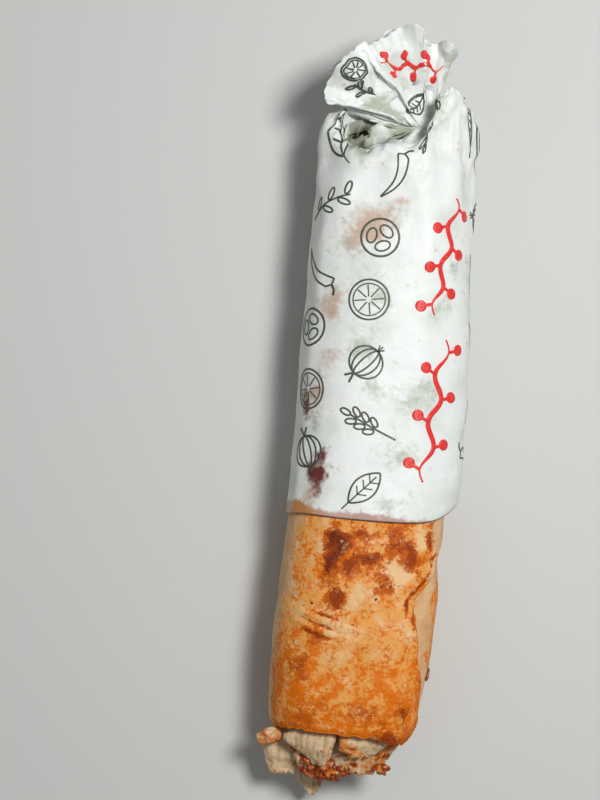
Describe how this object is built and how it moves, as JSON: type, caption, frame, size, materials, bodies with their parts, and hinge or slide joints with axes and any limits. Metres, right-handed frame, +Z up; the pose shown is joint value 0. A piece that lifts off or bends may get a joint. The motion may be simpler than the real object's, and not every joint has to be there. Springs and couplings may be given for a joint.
{
  "type": "shawarma sandwich",
  "caption": "Toasted flatbread roll filled with sliced chicken, open at one end, half wrapped in a printed paper sleeve gathered at the other.",
  "frame": {"origin": "on the flat underside of the paper sleeve, under the middle of the roll's width", "axes": "+Y along the roll, from the open mouth to the gathered end of the paper; +Z up from the surface it lies on; +X to the right seen from above with the mouth at the bottom"},
  "size_m": [0.0737, 0.3137, 0.0521],
  "materials": {
    "toasted_flatbread": "matte, toasted",
    "greaseproof_paper": "smooth printed paper with oil stains",
    "chicken": "moist",
    "chopped_filling": "moist"
  },
  "bodies": {
    "root": {"flatbread": "toasted_flatbread", "paper_wrap": "greaseproof_paper", "filling": "chopped_filling", "chicken_strip_centre": "chicken", "chicken_slice_right_upper": "chicken", "chicken_slice_right_lower": "chicken", "chicken_slice_left": "chicken", "chicken_corner_right": "chicken", "chicken_chunk_sauced": "chicken", "chicken_slice_low": "chicken", "chicken_curl_left": "chicken"}
  },
  "joints": []
}
